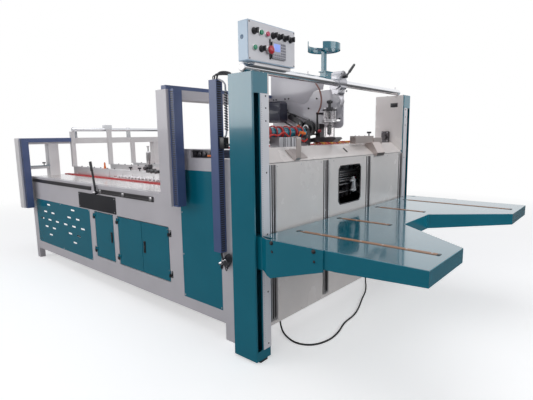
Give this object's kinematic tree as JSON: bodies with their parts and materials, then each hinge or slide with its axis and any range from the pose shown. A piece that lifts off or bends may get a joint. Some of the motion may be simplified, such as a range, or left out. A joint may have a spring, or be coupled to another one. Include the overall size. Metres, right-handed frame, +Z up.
{
  "type": "semi-automatic carton folder gluer",
  "caption": "Carton folding and gluing line: sheet feed platform on lift columns, glue unit under a cross tube, long cabinet body with folding table and wiring gantries.",
  "frame": {"origin": "middle of the machine's footprint on the floor", "axes": "+Z up, -Y towards the feed platform, +Y along the run of the board, X across the machine"},
  "size_m": [1.93, 4.009, 1.755],
  "materials": {
    "teal": "glossy teal enamel",
    "frame_white": "satin pale grey paint",
    "panel_cream": "satin warm grey sheet",
    "chrome": "polished chrome",
    "steel": "brushed steel",
    "alu": "anodised aluminium",
    "black": "black plastic",
    "duct": "blue-grey duct",
    "red_belt": "red flat belt",
    "wood": "varnished wooden strip",
    "blue_box": "pale blue enamel",
    "motor": "dark blue-grey paint",
    "cord": "black cable sheath"
  },
  "bodies": {
    "machine_frame": {"board_stops": "steel", "bottle_stand": "teal", "cable_trunk": "frame_white", "clamp_lever": "black", "column_feet": "black", "console_box": "blue_box", "console_controls": "black", "console_face": "alu", "console_saddle": "black", "counter_display": "black", "cross_beams": "frame_white", "cross_tube": "chrome", "door_hinges": "black", "drive_belt": "black", "drive_motor": "motor", "drive_pulleys": "black", "far_gantry": "frame_white", "feed_bed": "steel", "feed_shoe": "black", "folding_beams": "steel", "front_frame": "frame_white", "front_ledge": "panel_cream", "front_panels": "panel_cream", "glue_plate": "steel", "glue_pot": "frame_white", "guide_rods": "chrome", "inner_drive": "steel", "lift_columns": "teal", "near_gantry": "frame_white", "panel_rails": "steel", "power_cord": "cord", "pressing_blocks": "frame_white", "red_belts": "red_belt", "roller_bearing": "steel", "scale_strips": "alu", "side_covers": "teal", "side_frame_left": "frame_white", "side_frame_right": "frame_white", "side_lever": "black", "side_plates": "panel_cream", "sign_plate": "black", "slot_rails": "steel", "star_knobs": "black", "table_sheet": "steel", "tube_clamp": "steel", "unit_rims": "frame_white", "upper_tube": "chrome", "vent_panels": "teal", "wiring_ducts": "duct"},
    "platform": {"lift_platform": "teal", "platform_bars": "wood", "platform_arms": "teal"},
    "front_door": {"door_front": "teal", "latch_front": "black"},
    "rear_door": {"door_rear": "teal"},
    "single_door": {"door_single": "teal", "latch_single": "black"},
    "roller": {"feed_roller": "teal"}
  },
  "joints": [
    {"name": "platform_lift", "type": "slide", "parent": "machine_frame", "child": "platform", "axis": [0, 0, 1], "range_m": [-0.4, 0.33]},
    {"name": "front_door_hinge", "type": "hinge", "parent": "machine_frame", "child": "front_door", "pos_m": [-0.853, -0.2865, 0.42], "axis": [0, 0, 1], "range_deg": [0, 110]},
    {"name": "rear_door_hinge", "type": "hinge", "parent": "machine_frame", "child": "rear_door", "pos_m": [-0.853, 0.3595, 0.42], "axis": [0, 0, -1], "range_deg": [0, 110]},
    {"name": "single_door_hinge", "type": "hinge", "parent": "machine_frame", "child": "single_door", "pos_m": [-0.853, 0.7175, 0.42], "axis": [0, 0, -1], "range_deg": [0, 110]},
    {"name": "roller_spin", "type": "hinge", "parent": "machine_frame", "child": "roller", "pos_m": [-0.4, -0.8925, 1.212], "axis": [1, 0, 0], "continuous": true}
  ]
}
